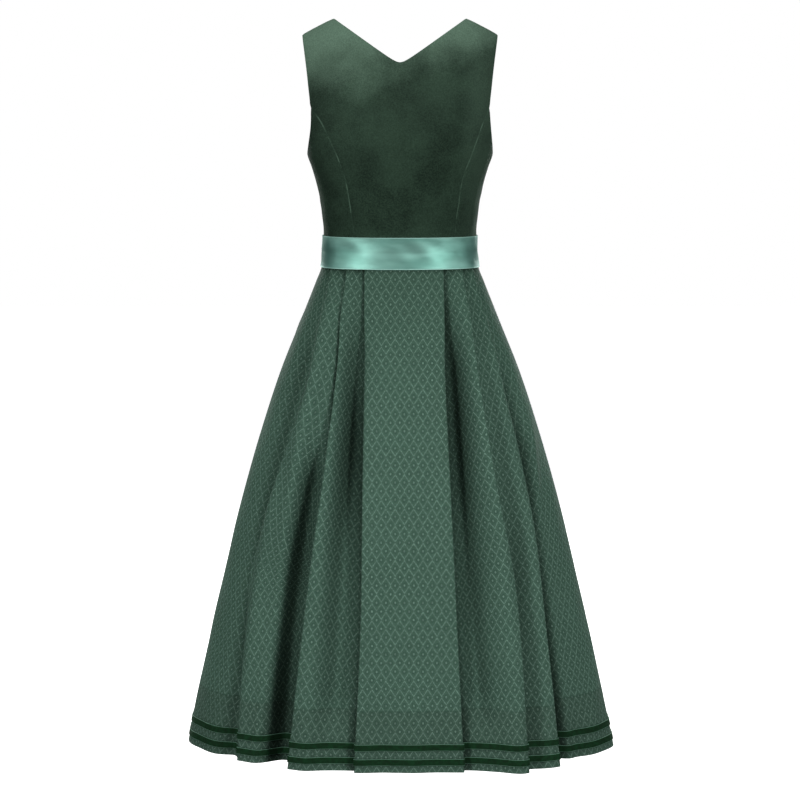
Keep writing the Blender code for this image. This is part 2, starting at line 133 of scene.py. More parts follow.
BACK_SEAM = (
    Seam(-0.368, 0.0690, 0.0840),
    Seam(-0.328, 0.0730, 0.0870),
    Seam(-0.290, 0.0785, 0.0915),
    Seam(-0.250, 0.0860, 0.0985),
    Seam(-0.219, 0.0970, 0.1100),
    Seam(-0.187, 0.1115, 0.1220),
    Seam(-0.160, 0.1255, 0.1320),
    Seam(-0.141, 0.1400, 0.1405),
)
FRONT_SEAM = (
    Seam(-0.368, 0.0640, 0.0640),
    Seam(-0.320, 0.0700, 0.0700),
    Seam(-0.270, 0.0800, 0.0800),
    Seam(-0.230, 0.0900, 0.0900),
    Seam(-0.190, 0.1060, 0.1060),
    Seam(-0.160, 0.1230, 0.1230),
    Seam(-0.141, 0.1370, 0.1370),
)
BACK_ARMHOLE = (
    Seam(-0.160, 0.1412, 0.1412),
    Seam(-0.141, 0.1414, 0.1414),
    Seam(-0.106, 0.1447, 0.1447),
    Seam(-0.077, 0.1480, 0.1480),
    Seam(-0.026, 0.1550, 0.1550),
)
FRONT_ARMHOLE = (
    Seam(-0.160, 0.1380, 0.1380),
    Seam(-0.141, 0.1378, 0.1378),
    Seam(-0.106, 0.1400, 0.1400),
    Seam(-0.077, 0.1440, 0.1440),
    Seam(-0.026, 0.1550, 0.1550),
)
ARMHOLE_JOIN_Z = -0.141  # where the front and back seams run out into the armhole


class Pleat(NamedTuple):
    """A knife pleat facing away from the centre. Its fold's distance from the centre plane is given at
    the heights of PLEAT_HEIGHTS, the cloth tucked under the fold at waist and hem, how far inside the
    fold the next panel lies at the heights of STEP_HEIGHTS, and how far inside the skirt's ring the
    fold hangs at the hem."""

    side: int
    x_waist: float
    x_hip: float
    x_thigh: float
    x_calf: float
    x_hem: float
    tuck_waist: float
    tuck_hem: float
    step_hip: float
    step_thigh: float
    step_calf: float
    step_hem: float
    inset_hem: float


PLEAT_HEIGHTS = (-0.393, -0.560, -0.720, -0.900, HEM_Z)
STEP_HEIGHTS = (-0.520, -0.700, -0.900, HEM_Z)
BACK_PLEATS = (
    Pleat(+1, 0.0555, 0.0563, 0.0583, 0.0605, 0.0706, 0.030, 0.020, 0.010, 0.034, 0.016, 0.014, 0.000),
    Pleat(+1, 0.0840, 0.0985, 0.1190, 0.1440, 0.1749, 0.024, 0.034, 0.007, 0.018, 0.040, 0.055, 0.000),
    Pleat(+1, 0.1086, 0.1370, 0.1940, 0.2480, 0.2565, 0.018, 0.013, 0.012, 0.017, 0.014, 0.012, 0.014),
    Pleat(-1, 0.0680, 0.0712, 0.0787, 0.0870, 0.0992, 0.030, 0.020, 0.018, 0.028, 0.016, 0.014, 0.012),
    Pleat(-1, 0.0980, 0.1195, 0.1460, 0.1800, 0.1985, 0.024, 0.022, 0.010, 0.018, 0.022, 0.020, -0.002),
    Pleat(-1, 0.1143, 0.1600, 0.2010, 0.2245, 0.2507, 0.012, 0.036, 0.012, 0.024, 0.036, 0.050, 0.012),
)
FRONT_PLEATS = (
    Pleat(+1, 0.0660, 0.0700, 0.0780, 0.0900, 0.1040, 0.028, 0.020, 0.016, 0.026, 0.020, 0.016, 0.004),
    Pleat(+1, 0.1010, 0.1280, 0.1680, 0.2080, 0.2360, 0.022, 0.028, 0.010, 0.020, 0.030, 0.040, 0.008),
    Pleat(-1, 0.0600, 0.0620, 0.0660, 0.0720, 0.0800, 0.028, 0.020, 0.018, 0.026, 0.018, 0.014, 0.006),
    Pleat(-1, 0.0960, 0.1180, 0.1520, 0.1940, 0.2220, 0.022, 0.026, 0.010, 0.018, 0.028, 0.034, 0.010),
)
BACK_CENTRE_INSET = 0.006  # at the hem, how far the middle panel hangs inside the skirt's ring
FRONT_CENTRE_INSET = 0.004

# Faces along each stretch of a pleat's section.
PANEL_STEPS, TURN_STEPS, TUCK_STEPS, UNDER_STEPS, SIDE_STEPS = 36, 8, 8, 12, 60
CURVE_STEPS = 400  # along a quarter ring, for measuring along it


class Crease(NamedTuple):
    """A soft ridge (height above 0) or trough down the skirt, its distance from the centre plane given
    at its top, middle and bottom."""

    face: int
    side: int
    top: float
    bottom: float
    x_top: float
    x_middle: float
    x_bottom: float
    width: float
    height: float


CREASES = (
    Crease(1, +1, -0.400, -1.164, 0.088, 0.124, 0.149, 0.019, 0.0070),
    Crease(1, +1, -0.460, -1.120, 0.068, 0.091, 0.104, 0.020, -0.0150),
    Crease(1, +1, -0.420, -1.164, 0.104, 0.178, 0.232, 0.019, 0.0120),
    Crease(1, +1, -0.660, -1.164, 0.132, 0.182, 0.208, 0.018, -0.0140),
    Crease(1, +1, -0.470, -1.164, 0.138, 0.238, 0.290, 0.018, -0.0130),
    Crease(1, -1, -0.400, -1.164, 0.090, 0.151, 0.184, 0.019, 0.0100),
    Crease(1, -1, -0.480, -1.120, 0.084, 0.108, 0.132, 0.017, -0.0140),
    Crease(1, -1, -0.600, -1.164, 0.205, 0.250, 0.298, 0.020, 0.0100),
    Crease(1, -1, -0.520, -1.164, 0.166, 0.238, 0.282, 0.018, -0.0150),
    Crease(-1, +1, -0.400, -1.164, 0.086, 0.130, 0.168, 0.020, 0.0080),
    Crease(-1, +1, -0.450, -1.164, 0.150, 0.230, 0.286, 0.020, 0.0095),
    Crease(-1, +1, -0.500, -1.120, 0.120, 0.180, 0.226, 0.017, -0.0080),
    Crease(-1, -1, -0.400, -1.100, 0.082, 0.112, 0.146, 0.017, -0.0085),
    Crease(-1, -1, -0.480, -1.164, 0.140, 0.222, 0.276, 0.020, 0.0090),
    Crease(-1, -1, -0.520, -1.164, 0.180, 0.262, 0.306, 0.018, -0.0080),
)


class Sway(NamedTuple):
    """A slow wave along the skirt's section, which makes its panels uneven."""

    length: float
    lean: float
    start: float
    height: float


CREASE_FADE = 0.08  # height over which a crease comes and goes
CENTRE_EASE = 0.030  # the centre line stays smooth over this width
SIDE_EASE = 0.020
SWAYS = (Sway(0.121, 2.1, 0.4, 0.0012), Sway(0.073, -3.0, 2.2, 0.0007))
SWAY_START = 0.25  # share of the skirt's fall over which the sways come in
SWAY_LEAST = 0.4  # share of its height that a sway has near the waist


# ---- reading the tables ----
def eased(heights, values, z):
    """Smooth interpolation of values given at falling or rising heights, without overshoot."""
    order = np.argsort(heights)
    h, v = np.array(heights, float)[order], np.array(values, float)[order]
    slope = np.diff(v) / np.diff(h)
    inner = np.where(slope[1:] * slope[:-1] > 0, 2 / (1 / _safe(slope[1:]) + 1 / _safe(slope[:-1])), 0)
    tangent = np.concatenate([[slope[0]], inner, [slope[-1]]])
    z = min(max(z, h[0]), h[-1])
    i = min(max(int(np.searchsorted(h, z)) - 1, 0), len(h) - 2)
    span = h[i + 1] - h[i]
    q = (z - h[i]) / span
    near, far = v[i], v[i + 1]
    bend = (2 * q**3 - 3 * q**2 + 1) * near + (3 * q**2 - 2 * q**3) * far
    return bend + span * ((q**3 - 2 * q**2 + q) * tangent[i] + (q**3 - q**2) * tangent[i + 1])


def _safe(a):
    """a with its zeros moved off zero, so that it can divide."""
    return np.where(np.abs(a) < 1e-12, 1e-12, a)


def column(table, name, z):
    return eased([row.z for row in table], [getattr(row, name) for row in table], z)


# ---- measuring ----
def measured(points, axis=0):
    """Lengths along a line of points, or along an axis of a grid of them, from 0 at the start."""
    steps = np.linalg.norm(np.diff(points, axis=axis), axis=-1)
    return np.insert(np.cumsum(steps, axis=axis), 0, 0, axis=axis)


def unit(ways):
    return ways / np.linalg.norm(ways, axis=-1, keepdims=True)


# ---- the bodice's form ----
def shoulder_z(x):
    """Height of the ridge over the shoulder at x. Inside the seam's neck end it rises as a neck does."""
    beyond = (abs(x) - NECK_HALF_WIDTH) / (SHOULDER_HALF_WIDTH - NECK_HALF_WIDTH)
    if beyond < 0:
        return NECK_RISE * (NECK_HALF_WIDTH - abs(x))
    return -SHOULDER_DROP * beyond**SHOULDER_BOW


def torso_point(x, z, face, arch=None):
    """The point of the form at x and z, behind (face +1) or before (face -1). arch is the angle round
    the shoulder, 0 at the underarm and 90 degrees at the ridge, where z alone can't tell it."""
    half_width = column(TORSO, "half_width", z)
    depth = column(TORSO, "back" if face > 0 else "front", z)
    across = max(0.0, 1 - min(1.0, abs(x) / half_width) ** TORSO_ROUNDNESS) ** (1 / TORSO_ROUNDNESS)
    if arch is None:
        rise = max(0.0, (z - UNDERARM_Z) / (shoulder_z(x) - UNDERARM_Z))
        arch = math.asin(min(1.0, rise))
    return (x, face * depth * across * math.cos(arch), z)


def over_shoulder(x, level, face):
    """A point at x whose level runs from -1 at the waist through 0 at the underarm to 1 at the ridge."""
    if level <= 0:
        return torso_point(x, UNDERARM_Z + level * (UNDERARM_Z - WAIST_Z), face)
    arch = level * math.pi / 2
    z = UNDERARM_Z + (shoulder_z(x) - UNDERARM_Z) * math.sin(arch)
    return torso_point(x, z, face, arch)


def level_of(x, z):
    """The level that over_shoulder takes for a point at x and z."""
    if z <= UNDERARM_Z:
        return (z - UNDERARM_Z) / (UNDERARM_Z - WAIST_Z)
    return math.asin(min(1.0, (z - UNDERARM_Z) / (shoulder_z(x) - UNDERARM_Z))) * 2 / math.pi


def neck_z(x, tip_z):
    """The V neckline: straight sides from the shoulder seams to a slightly rounded tip."""
    r = abs(x) / NECK_HALF_WIDTH
    rounded = math.hypot(r, NECK_TIP_ROUNDING) - NECK_TIP_ROUNDING
    return tip_z * (1 - rounded / (math.hypot(1, NECK_TIP_ROUNDING) - NECK_TIP_ROUNDING))


# ---- the skirt's form ----
class Quarter(NamedTuple):
    """A quarter of a ring from its centre line to its side, measured along: points and normals."""

    along: np.ndarray
    points: np.ndarray
    normals: np.ndarray


def fall(z):
    """0 at the waist and 1 at the hem."""
    return (WAIST_Z - z) / (WAIST_Z - HEM_Z)


def quarter_ring(half_width, depth, roundness):
    turn = np.linspace(0, math.pi / 2, CURVE_STEPS + 1)
    x = half_width * np.sin(turn) ** (2 / roundness)
    y = depth * np.maximum(np.cos(turn), 0) ** (2 / roundness)
    points = np.stack([x, y], axis=1)
    nx, ny = (x / half_width) ** (roundness - 1) / half_width, (y / depth) ** (roundness - 1) / depth
    return Quarter(measured(points), points, unit(np.stack([nx, ny], axis=1)))


def skirt_quarter(z):
    """The skirt's ring at a height, without its pleats. Back and front have the same depth."""
    half_width = column(SKIRT, "half_width", z)
    waist, hem = SKIRT[0].half_width, SKIRT[-1].half_width
    spread = (half_width - waist) / (hem - waist)
    waist_depth = TORSO[0].back
    depth = waist_depth + (HEM_DEPTH - waist_depth) * spread
    roundness = TORSO_ROUNDNESS + (HEM_ROUNDNESS - TORSO_ROUNDNESS) * fall(z)
    return quarter_ring(half_width, depth, roundness)


def located(ring, along, inset):
    """Points at distances along a quarter ring, moved in from it by inset."""
    columns = [np.interp(along, ring.along, a) for a in (*ring.points.T, *ring.normals.T)]
    points, normals = np.stack(columns[:2], axis=1), np.stack(columns[2:], axis=1)
    return points - normals * np.asarray(inset)[:, None]


def smooth(q):
    q = np.clip(q, 0, 1)
    return q * q * (3 - 2 * q)


def half_skirt(z, ring, pleats, centre_inset, unevenness):
    """One quarter of the skirt's section, from the centre line out to the side seam: the cloth runs
    along each panel, turns at the fold, goes back under it, turns again and runs out to the next."""
    t = fall(z)
    along, inset = [], []

    def lay(places, insets):
        along.extend(places)
        inset.extend(insets)

    start, start_inset = 0.0, centre_inset * t * t
    for pleat in pleats:
        step = eased((PLEAT_HEIGHTS[0], *STEP_HEIGHTS), (2 * LAYER_PITCH, *pleat[8:12]), z)
        gap = step / 2
        tuck = max(pleat.tuck_waist + (pleat.tuck_hem - pleat.tuck_waist) * t, gap * LEAST_TUCK)
        edge_x = eased(PLEAT_HEIGHTS, pleat[1:6], z)
        edge_inset = pleat.inset_hem * t * t
        radius = min(gap / 2, FOLD_RADIUS)
        outline = ring.points[:, 0] - (edge_inset + radius) * ring.normals[:, 0]
        edge = float(np.interp(edge_x, outline, ring.along))
        last = edge - radius

        def panel(s, a=start, b=last, near=start_inset, far=edge_inset):
            return near + (far - near) * smooth((np.asarray(s) - a) / (b - a))

        s = np.linspace(start, last, PANEL_STEPS + 1)
        lay(s, panel(s))
        turn = np.linspace(0, math.pi, TURN_STEPS + 1)[1:]
        lay(last + radius * np.sin(turn), edge_inset + radius * (1 - np.cos(turn)))
        inner = edge - tuck + gap / 2
        q = np.linspace(0, 1, TUCK_STEPS + 1)[1:]
        s = last + (inner - last) * q
        lay(s, panel(s) + 2 * radius + (gap - 2 * radius) * q)
        lay(inner - gap / 2 * np.sin(turn), panel(inner) + gap * 1.5 - gap / 2 * np.cos(turn))
        s = np.linspace(inner, edge, UNDER_STEPS + 1)[1:-1]
        lay(s, panel(s) + step)
        start, start_inset = edge, edge_inset + step
    s = np.linspace(start, ring.along[-1], SIDE_STEPS + 1)
    lay(s, start_inset * (1 - smooth((s - start) / (ring.along[-1] - start))))
    along = np.array(along)
    return located(ring, along, np.array(inset) - unevenness(along))


def uneven(z, face, side, ring):
    """How far the skirt's creases and sways move its section out, for distances along a quarter ring."""
    t = fall(z)
    outline = ring.points[:, 0]
    ridges = []
    for crease in CREASES:
        if (crease.face, crease.side) != (face, side):
            continue
        middle = (crease.top + crease.bottom) / 2
        places = (crease.x_top, crease.x_middle, crease.x_bottom)
        x = eased((crease.top, middle, crease.bottom), places, z)
        fade = smooth((crease.top - z) / CREASE_FADE)
        if crease.bottom > HEM_Z:
            fade = fade * smooth((z - crease.bottom) / CREASE_FADE)
        ridges.append((float(np.interp(x, outline, ring.along)), crease.width, crease.height * fade))
    swing = smooth(t / SWAY_START) * (SWAY_LEAST + (1 - SWAY_LEAST) * t)

    def shift(along):
        out = np.zeros(len(along))
        for place, width, height in ridges:
            out += height * np.exp(-(((along - place) / width) ** 2))
        for sway in SWAYS:
            phase = sway.start + sway.lean * (z - WAIST_Z) * math.tau + face * side * sway.start * 2
            out += swing * sway.height * np.sin(along / sway.length * math.tau + phase)
        return out * smooth(along / CENTRE_EASE) * smooth((ring.along[-1] - along) / SIDE_EASE)

    return shift


def skirt_line(z, face):
    """The middle of the skirt's wall at a height, from the left side seam round to the right one."""
    ring = skirt_quarter(z)
    pleats, inset = (BACK_PLEATS, BACK_CENTRE_INSET) if face > 0 else (FRONT_PLEATS, FRONT_CENTRE_INSET)
    left, right = (
        half_skirt(z, ring, [p for p in pleats if p.side == s], inset, uneven(z, face, s, ring))
        for s in (1, -1)
    )
    whole = np.concatenate([left[::-1], (right * (-1, 1))[1:]]) * (1, face)
    whole[:, 1] -= whole[:, 0] * HEM_SLANT * fall(z) ** 2
    return whole


# ---- measures of the thin shells ----
SEAM_HEIGHTS = (WAIST_Z, -0.336, -0.305, -0.274, -0.244, UNDERARM_Z, -0.190, -0.165, ARMHOLE_JOIN_Z)
SEAM_SUBROWS = 6  # rows of faces between two of those heights
STRAP_ROWS = 34
CENTRE_COLUMNS = 26
SIDE_COLUMNS = 16
ARMHOLE_ROUNDS = 4  # of finding an armhole's x from its height, which depends on x
ROW_LEAN = 0.4  # how far a side panel's rows lean with its seam as they fall to the side
EDGES = {"first": (1, 0), "last": (1, -1), "top": (0, -1)}  # the axis across each edge, and its index
FLANGE = 0.004  # a panel's edge turned in at its seam
SEAM_INSET = 0.00002  # each panel's edge stands back from its seam by this
SEAM_ROLL = 0.0035  # width over which a panel's edge rolls in
SEAM_DIP = 0.0007
SEAM_HIGHLIGHT_WIDTH = 0.0016  # width of the paler line painted along a seam, a highlight where its rolled edge catches the light
AT_CENTRE = 0.00002  # points nearer the centre plane than this lie on it
WELD_REACH = 0.00005
SHARP_DEGREES = 60

SKIRT_STRETCHES = ((WAIST_Z, -0.420, 11), (-0.420, -1.108, 55), (-1.108, HEM_Z, 10))  # from, to, rows
GRAIN_STEPS = 6  # faces along which the way across a panel is measured
PANEL_PHASE = 0.0052  # shift of the figure from one panel to the next
HEM_RIBBON_ROWS = 5
WAIST_RIBBON_COLUMNS = 70  # for a quarter of the waist
WAIST_RIBBON_ROWS = 26
WAIST_RIBBON_EASE = 0.0003  # a further lift, so that its waves clear the bodice
OPENING_GAP = 0.0003


class Wave(NamedTuple):
    """A slow wave round the waist ribbon."""

    turns: float
    lean: float
    start: float
    height: float


WAIST_RIBBON_WAVES = (Wave(5, 2.2, 0.0, 0.0006), Wave(13, -3.1, 1.0, 0.0004))


# ---- meshes ----
def wall_mesh(name, outer, inner, uv_cells, closed=False, seam=None):
    """A thin shell from two grids of points (rows, columns), with its cloth coordinates in metres.
    uv_cells holds (rows, columns, start or end of the cell, u or v)."""
    rows, cols = outer.shape[:2]
    cells = cols if closed else cols - 1
    index = np.arange(rows * cols).reshape(rows, cols)
    ends = np.stack([index, np.roll(index, -1, axis=1)], axis=-1)[:, :cells]
    corners = np.concatenate([ends[..., None], uv_cells[:, :cells]], axis=-1)
    a, b = corners[:, :, 0], corners[:, :, 1]
    behind = np.array([rows * cols, 0, 0])  # from a corner to the same one on the inner grid
    faces = [
        (a[:-1], b[:-1], b[1:], a[1:]),
        [corner + behind for corner in (a[1:], b[1:], b[:-1], a[:-1])],
        (b[0], a[0], a[0] + behind, b[0] + behind),
        (a[-1], b[-1], b[-1] + behind, a[-1] + behind),
    ]
    if not closed:
        first, last = a[:, 0], b[:, -1]
        faces.append((first[:-1], first[1:], first[1:] + behind, first[:-1] + behind))
        faces.append((last[:-1] + behind, last[1:] + behind, last[1:], last[:-1]))
    corners = np.concatenate([np.stack(face, axis=-2).reshape(-1, 4, 3) for face in faces])
    quads, uvs = corners[..., 0].astype(np.int32), corners[..., 1:]
    points = np.concatenate([outer.reshape(-1, 3), inner.reshape(-1, 3)])
    a, b, c, d = points[quads].transpose(1, 0, 2)
    volume = np.sum(a * np.cross(b, c)) + np.sum(a * np.cross(c, d))
    if volume < 0:
        quads, uvs = quads[:, ::-1], uvs[:, ::-1]
    mesh = bpy.data.meshes.new(name)
    mesh.vertices.add(len(points))
    mesh.vertices.foreach_set("co", points.astype(np.float32).ravel())
    mesh.loops.add(quads.size)
    mesh.loops.foreach_set("vertex_index", quads.ravel())
    mesh.polygons.add(len(quads))
    mesh.polygons.foreach_set("loop_start", np.arange(0, quads.size, 4, dtype=np.int32))
    mesh.update(calc_edges=True)
    mesh.uv_layers.new(name="cloth").data.foreach_set("uv", uvs.astype(np.float32).ravel())
    if seam is not None:
        both = np.concatenate([seam.ravel()] * 2)
        mesh.attributes.new("seam", "FLOAT", "POINT").data.foreach_set("value", both.astype(np.float32))
    mesh.validate()
    mesh.shade_smooth()
    mesh.set_sharp_from_angle(angle=math.radians(SHARP_DEGREES))
    made = bpy.data.objects.new(name, mesh)
    bpy.context.collection.objects.link(made)
    return made


def dressed(made, look, node):
    """A finished piece with its material, which stands for a node of the CAD."""
    made.data.materials.append(look)
    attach(made, "root")
    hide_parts(node)
    return made


def plain_uv(grid):
    """A grid's cloth coordinates, from the lengths along its rows and down its columns. A loop's last
    cell ends at its first point's place."""
    uv = np.stack([measured(grid, 1), measured(grid, 0)], axis=-1)
    return np.stack([uv, np.roll(uv, -1, axis=1)], axis=2)


def moved_out(line, by, closed=False):
    """A section moved sideways, to the right of its way, with mitred corners."""
    if closed:
        before, after = line - np.roll(line, 1, axis=0), np.roll(line, -1, axis=0) - line
    else:
        steps = np.diff(line, axis=0)
        before, after = np.concatenate([steps[:1], steps]), np.concatenate([steps, steps[-1:]])
    turned = [np.stack([way[:, 1], -way[:, 0]], axis=1) for way in (unit(before), unit(after))]
    mitre = turned[0] + turned[1]
    return line + mitre * (2 * by / np.sum(mitre * mitre, axis=1, keepdims=True))


def walls(lines, by_outer, by_inner, zs, closed=False):
    """The outer and the inner grid of a wall from its middle line at each height."""
    return [
        np.array([[(x, y, z) for x, y in moved_out(line, by, closed)] for line, z in zip(lines, zs)])
        for by in (by_outer, by_inner)
    ]


# ---- skirt ----
def pleat_marks(count):
    """For a quarter of the section: the point of each pleat's fold and of its inner turn."""
    stretch = PANEL_STEPS + TURN_STEPS + TUCK_STEPS + TURN_STEPS + UNDER_STEPS
    folds = [i * stretch + PANEL_STEPS + TURN_STEPS // 2 for i in range(count)]
    turns = [fold + TURN_STEPS + TUCK_STEPS for fold in folds]
    return folds, turns, count * stretch + SIDE_STEPS


def cloth_lengths(grid, count, side):
    """Each point's place on the flat cloth: (rows, columns, start or end of its cell, u or v). The grain
    of each panel runs along the fold that ends it, and the joins lie in the pleats' inner turns."""
    folds, turns, last = pleat_marks(count)
    anchors = [0, *folds[1:], last]
    breaks = [0, *turns, last]
    along = measured(grid[..., :2], 1)
    u, v = np.zeros((len(grid), last, 2)), np.zeros((len(grid), last, 2))
    for group, (first, end, anchor) in enumerate(zip(breaks, breaks[1:], anchors)):
        path = grid[:, anchor]
        way = unit(np.gradient(path, axis=0))
        near = anchor - TURN_STEPS if anchor else 1
        across = unit(grid[:, near] - grid[:, max(near - GRAIN_STEPS, 0)])
        lean = np.sum(way * across, axis=1)[:, None, None] if group else 0.0
        ends = np.stack([along[:, first:end], along[:, first + 1 : end + 1]], axis=-1)
        ends -= along[:, anchor][:, None, None]
        u[:, first:end] = ends * np.sqrt(1 - lean**2) + group * PANEL_PHASE
        v[:, first:end] = measured(path)[:, None, None] + ends * lean
    return np.stack([u * side, v], axis=-1)


def skirt_grid(face, rows):
    """The middle of the skirt's wall, and the cloth coordinates of its cells."""
    grid = np.array([[(x, y, z) for x, y in skirt_line(z, face)] for z in rows])
    pleats = BACK_PLEATS if face > 0 else FRONT_PLEATS
    counts = [sum(p.side == s for p in pleats) for s in (1, -1)]
    middle = pleat_marks(counts[0])[2]
    left = cloth_lengths(grid[:, middle::-1], counts[0], 1)[:, ::-1, ::-1]
    right = cloth_lengths(grid[:, middle:], counts[1], -1)
    return grid, np.concatenate([left, right], axis=1)


def build_skirt(look):
    rows = [np.linspace(*stretch) for stretch in SKIRT_STRETCHES]
    zs = np.concatenate([rows[0], *(below[1:] for below in rows[1:])])
    for face, place in ((1, "back"), (-1, "front")):
        grid, uv = skirt_grid(face, zs)
        half = face * SKIRT_WALL / 2
        outer, inner = walls(grid[..., :2], half, -half, zs)
        skirt = wall_mesh(f"skirt_{place}_cloth", outer, inner, uv)
        yield dressed(skirt, look, f"skirt_{place}"), grid


def build_hem_ribbons(look):
    lower = HEM_Z + LOWER_RIBBON_CLEAR
    outside, inside = HEM_RIBBON_LIFT + RIBBON_WALL / 2, HEM_RIBBON_LIFT - RIBBON_WALL / 2
    for place, bottom in (("lower", lower), ("upper", lower + HEM_RIBBON_PITCH)):
        zs = np.linspace(bottom + HEM_RIBBON_WIDTH, bottom, HEM_RIBBON_ROWS)
        loops = [np.concatenate([skirt_line(z, 1), skirt_line(z, -1)[::-1][1:-1]]) for z in zs]
        outer, inner = walls(loops, outside, inside, zs, True)
        step = np.linalg.norm(np.diff(outer, axis=1, append=outer[:, :1]), axis=2)
        ends = np.cumsum(step, axis=1)
        down = np.broadcast_to((zs[0] - zs)[:, None], ends.shape)
        uv = np.stack([np.stack([ends - step, down], -1), np.stack([ends, down], -1)], axis=2)
        ribbon = wall_mesh(f"hem_ribbon_{place}_cloth", outer, inner, uv, closed=True)
        yield dressed(ribbon, look, f"hem_ribbon_{place}"), float(ends[:, -1].mean())


# ---- bodice ----
def fine_heights():
    stretches = [np.linspace(a, b, SEAM_SUBROWS + 1)[1:] for a, b in zip(SEAM_HEIGHTS, SEAM_HEIGHTS[1:])]
    return np.concatenate([[WAIST_Z], *stretches])


def seam_x(z, seam, side):
    return column(seam, "left" if side > 0 else "right", z)


def centre_panel(side, face, tip_z, seam, armhole):
    """Half of a centre panel: from the centre plane, then the neckline, out to the seam and armhole."""
    rows = []
    for z in fine_heights():
        share = (z - WAIST_Z) / (ARMHOLE_JOIN_Z - WAIST_Z)
        x_out = seam_x(z, seam, side)
        rows.append((0.0, level_of(0, WAIST_Z + (tip_z - WAIST_Z) * share), x_out, level_of(x_out, z)))
    join_level = rows[-1][3]
    for i in range(1, STRAP_ROWS + 1):
        q = i / STRAP_ROWS
        x_in, level_out = NECK_HALF_WIDTH * q, join_level + (1 - join_level) * q
        x_out = SHOULDER_HALF_WIDTH
        for _ in range(ARMHOLE_ROUNDS if q < 1 else 0):
            x_out = seam_x(over_shoulder(x_out, level_out, face)[2], armhole, side)
        rows.append((x_in, level_of(x_in, neck_z(x_in, tip_z)) if q < 1 else 1.0, x_out, level_out))
    grid = []
    shares = np.linspace(0, 1, CENTRE_COLUMNS + 1)
    for x_in, level_in, x_out, level_out in rows:
        xs = side * (x_in + (x_out - x_in) * shares)
        levels = level_in + (level_out - level_in) * shares
        grid.append([over_shoulder(x, level, face) for x, level in zip(xs, levels)])
    return np.array(grid)


def side_panel(side, face, seam):
    """A side panel: from the seam round to the side seam, its top edge the foot of the armhole."""
    grid = []
    for height in fine_heights():
        share = (height - WAIST_Z) / (ARMHOLE_JOIN_Z - WAIST_Z)
        line = []
        for u in np.linspace(0, 1, SIDE_COLUMNS + 1):
            top = ARMHOLE_JOIN_Z + (UNDERARM_Z - ARMHOLE_JOIN_Z) * math.sin(u * math.pi / 2)
            z = WAIST_Z + (top - WAIST_Z) * share
            half_width = column(TORSO, "half_width", z)
            from_z = height + (z - height) * ROW_LEAN
            first = math.asin((seam_x(from_z, seam, side) / half_width) ** (TORSO_ROUNDNESS / 2))
            turn = first + (math.pi / 2 - first) * u
            x = half_width * math.sin(turn) ** (2 / TORSO_ROUNDNESS)
            line.append(torso_point(side * x, z, face))
        grid.append(line)
    return np.array(grid)


class Ruck(NamedTuple):
    """A shallow crease in the bodice: its middle, half its length and width, its lean and its height."""

    face: int
    x: float
    z: float
    length: float
    width: float
    lean: float
    height: float


RUCKS = (
    Ruck(1, 0.030, -0.322, 0.060, 0.006, 8, 0.0010),
    Ruck(1, -0.040, -0.300, 0.055, 0.007, -12, 0.0011),
    Ruck(1, 0.095, -0.300, 0.035, 0.006, 20, 0.0011),
    Ruck(1, -0.105, -0.285, 0.035, 0.006, -24, 0.0010),
    Ruck(1, 0.070, -0.170, 0.060, 0.012, 55, 0.0013),
    Ruck(1, -0.075, -0.165, 0.060, 0.012, -58, 0.0012),
    Ruck(1, 0.000, -0.200, 0.090, 0.014, 4, 0.0010),
    Ruck(1, 0.012, -0.250, 0.060, 0.009, 86, 0.0012),
    Ruck(-1, 0.050, -0.315, 0.050, 0.006, 10, 0.0010),
    Ruck(-1, -0.045, -0.325, 0.050, 0.006, -8, 0.0010),
    Ruck(-1, 0.085, -0.180, 0.050, 0.010, 50, 0.0012),
    Ruck(-1, -0.085, -0.185, 0.050, 0.010, -52, 0.0012),
)


def ruck_lift(grid, face):
    lift = np.zeros(grid.shape[:2])
    for ruck in RUCKS:
        if ruck.face != face:
            continue
        lean = math.radians(ruck.lean)
        dx, dz = grid[..., 0] - ruck.x, grid[..., 2] - ruck.z
        along = dx * math.cos(lean) + dz * math.sin(lean)
        across = dz * math.cos(lean) - dx * math.sin(lean)
        lift += ruck.height * np.exp(-((along / ruck.length) ** 2) - (across / ruck.width) ** 2)
    return lift


def outward(grid):
    """Unit normals of a grid that face away from the body's middle."""
    down, across = np.gradient(grid, axis=0), np.gradient(grid, axis=1)
    normals = np.cross(down, across)
    normals /= np.maximum(np.linalg.norm(normals, axis=2, keepdims=True), 1e-9)
    flat = grid * (1, 1, 0)
    return normals if np.sum(normals * flat) > 0 else -normals


